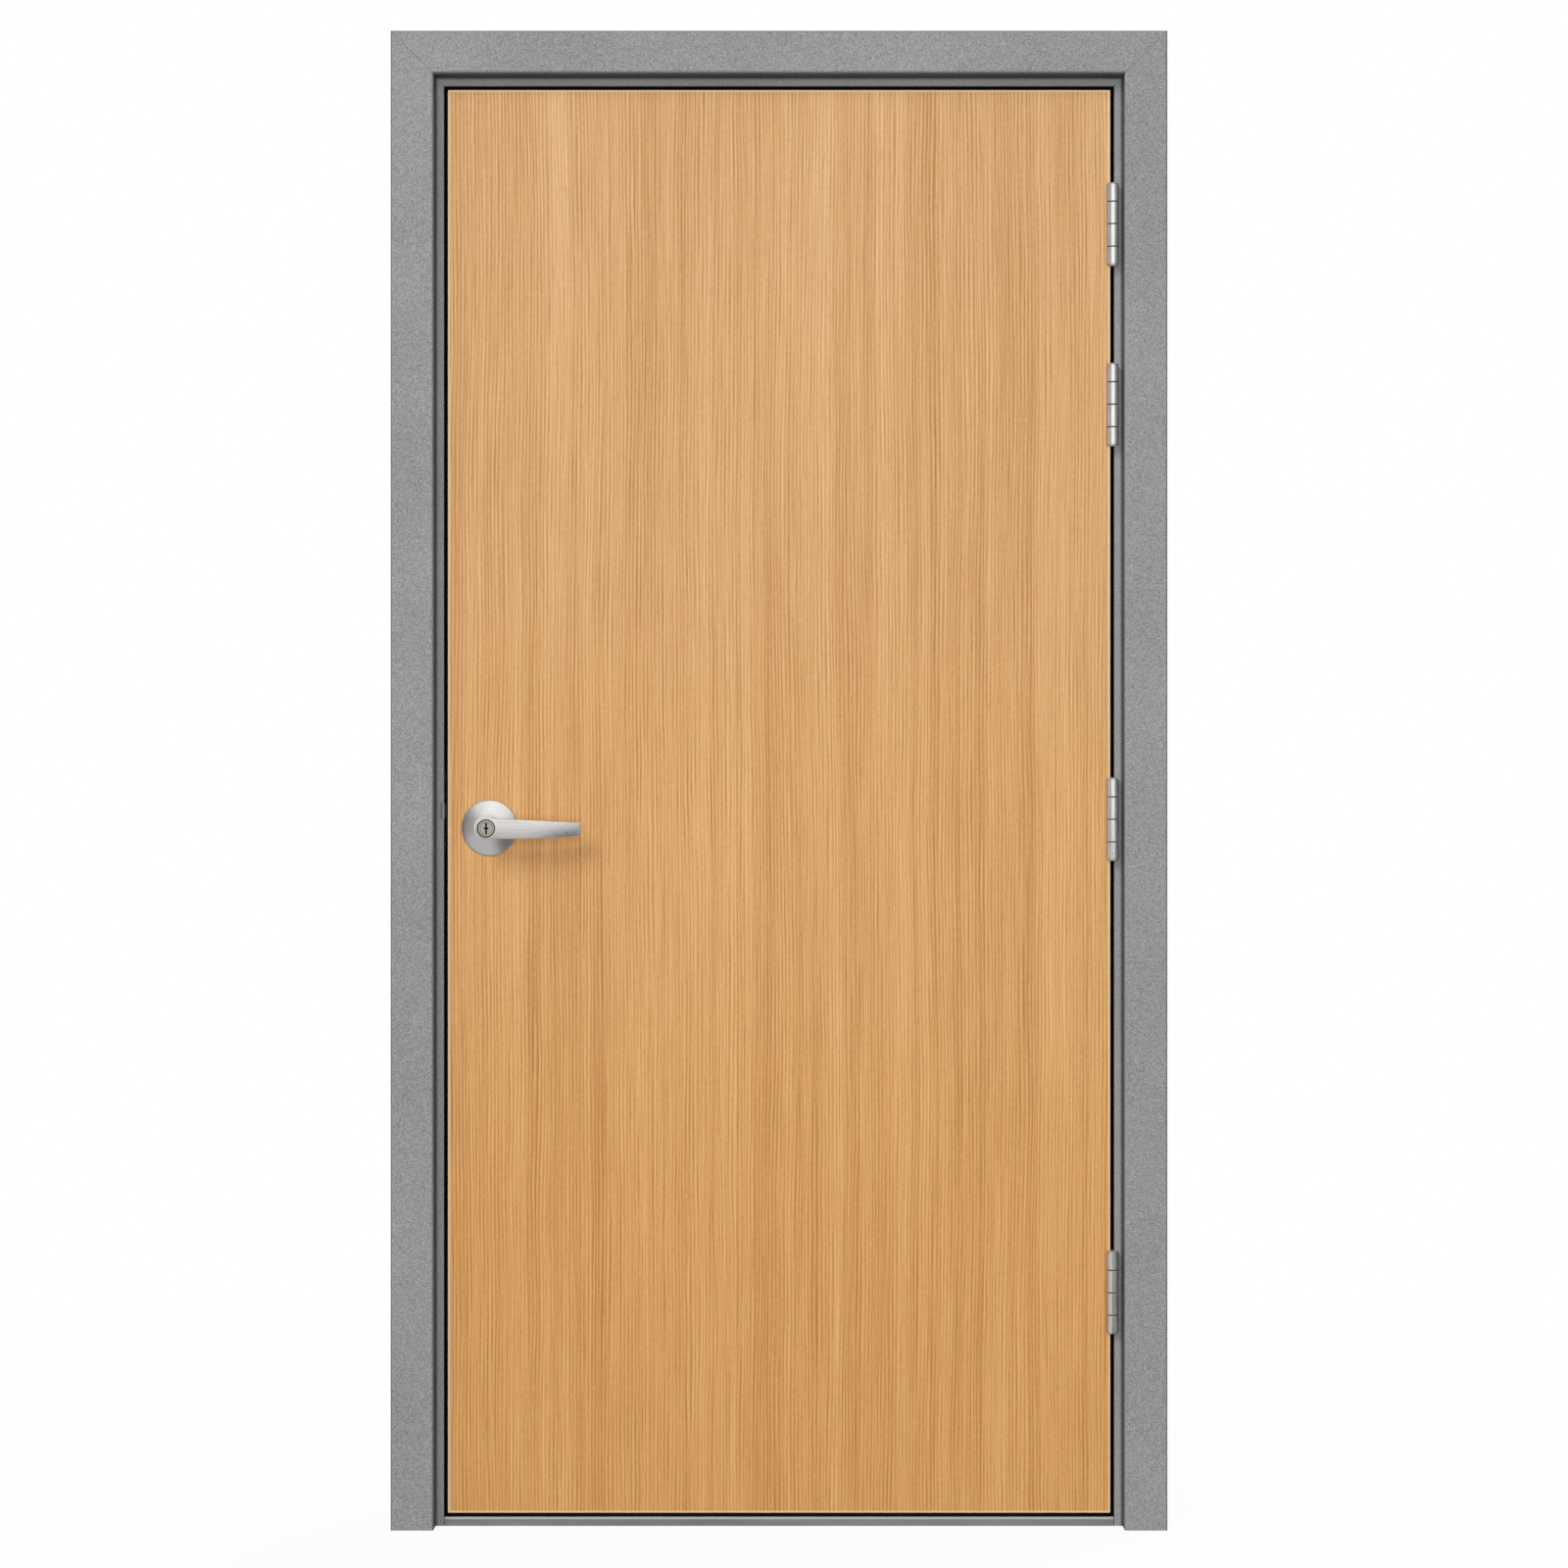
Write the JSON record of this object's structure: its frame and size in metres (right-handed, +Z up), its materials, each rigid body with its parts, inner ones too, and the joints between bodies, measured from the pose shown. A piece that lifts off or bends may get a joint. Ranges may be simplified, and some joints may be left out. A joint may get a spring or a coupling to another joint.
{
  "type": "flush utility door in a steel frame",
  "caption": "Single flush door leaf with wood-grain faces hung on butt hinges in a pressed grey steel frame with sill, with a keyed lever set.",
  "frame": {"origin": "on the floor under the middle of the sill: mid width between the jambs, mid depth of the frame", "axes": "+Z up, +X from the lock side to the hinge side, -Y towards the pull side that the leaf opens to"},
  "size_m": [1.107, 0.166, 2.137],
  "materials": {
    "frame_paint": "grey textured powder coat",
    "sill_paint": "grey powder coat",
    "seal_rubber": "matt black",
    "hinge_steel": "satin",
    "latch_steel": "satin",
    "satin_nickel": "brushed satin",
    "plug_nickel": "satin nickel plate",
    "face_veneer": "satin lacquered oak veneer, straight grain",
    "edge_timber": "lacquered oak lipping",
    "core_board": "raw"
  },
  "bodies": {
    "frame": {"strike_jamb": "frame_paint", "hinge_jamb": "frame_paint", "frame_head": "frame_paint", "sill": "sill_paint", "strike_plate": "latch_steel", "strike_seal": "seal_rubber", "hinge_seal": "seal_rubber", "head_seal": "seal_rubber", "bottom_hinge_frame_plate": "hinge_steel", "middle_hinge_frame_plate": "hinge_steel", "upper_hinge_frame_plate": "hinge_steel", "top_hinge_frame_plate": "hinge_steel", "bottom_hinge_pin": "hinge_steel", "middle_hinge_pin": "hinge_steel", "upper_hinge_pin": "hinge_steel", "top_hinge_pin": "hinge_steel"},
    "leaf": {"front_skin": "face_veneer", "rear_skin": "face_veneer", "lock_stile": "edge_timber", "hinge_stile": "edge_timber", "bottom_rail": "edge_timber", "top_rail": "edge_timber", "leaf_core": "core_board", "outside_rose": "satin_nickel", "inside_rose": "satin_nickel", "lock_case": "latch_steel", "latch_bolt": "latch_steel", "bottom_hinge_door_plate": "hinge_steel", "middle_hinge_door_plate": "hinge_steel", "upper_hinge_door_plate": "hinge_steel", "top_hinge_door_plate": "hinge_steel"},
    "levers": {"outside_lever": "satin_nickel", "inside_lever": "satin_nickel", "lever_spindle": "latch_steel"},
    "plug": {"key_plug": "plug_nickel"}
  },
  "joints": [
    {"name": "leaf_swing", "type": "hinge", "parent": "frame", "child": "leaf", "pos_m": [0.4775, -0.049, 1], "axis": [0, 0, 1], "range_deg": [0, 130]},
    {"name": "lever_turn", "type": "hinge", "parent": "leaf", "child": "levers", "pos_m": [-0.415, -0.018, 1.0005], "axis": [0, 1, 0], "range_deg": [0, 45], "stiffness_Nm_per_rad": 1.2, "springref_deg": -34.38},
    {"name": "key_turn", "type": "hinge", "parent": "levers", "child": "plug", "pos_m": [-0.415, -0.085, 1.0005], "axis": [0, 1, 0], "range_deg": [0, 90]}
  ]
}
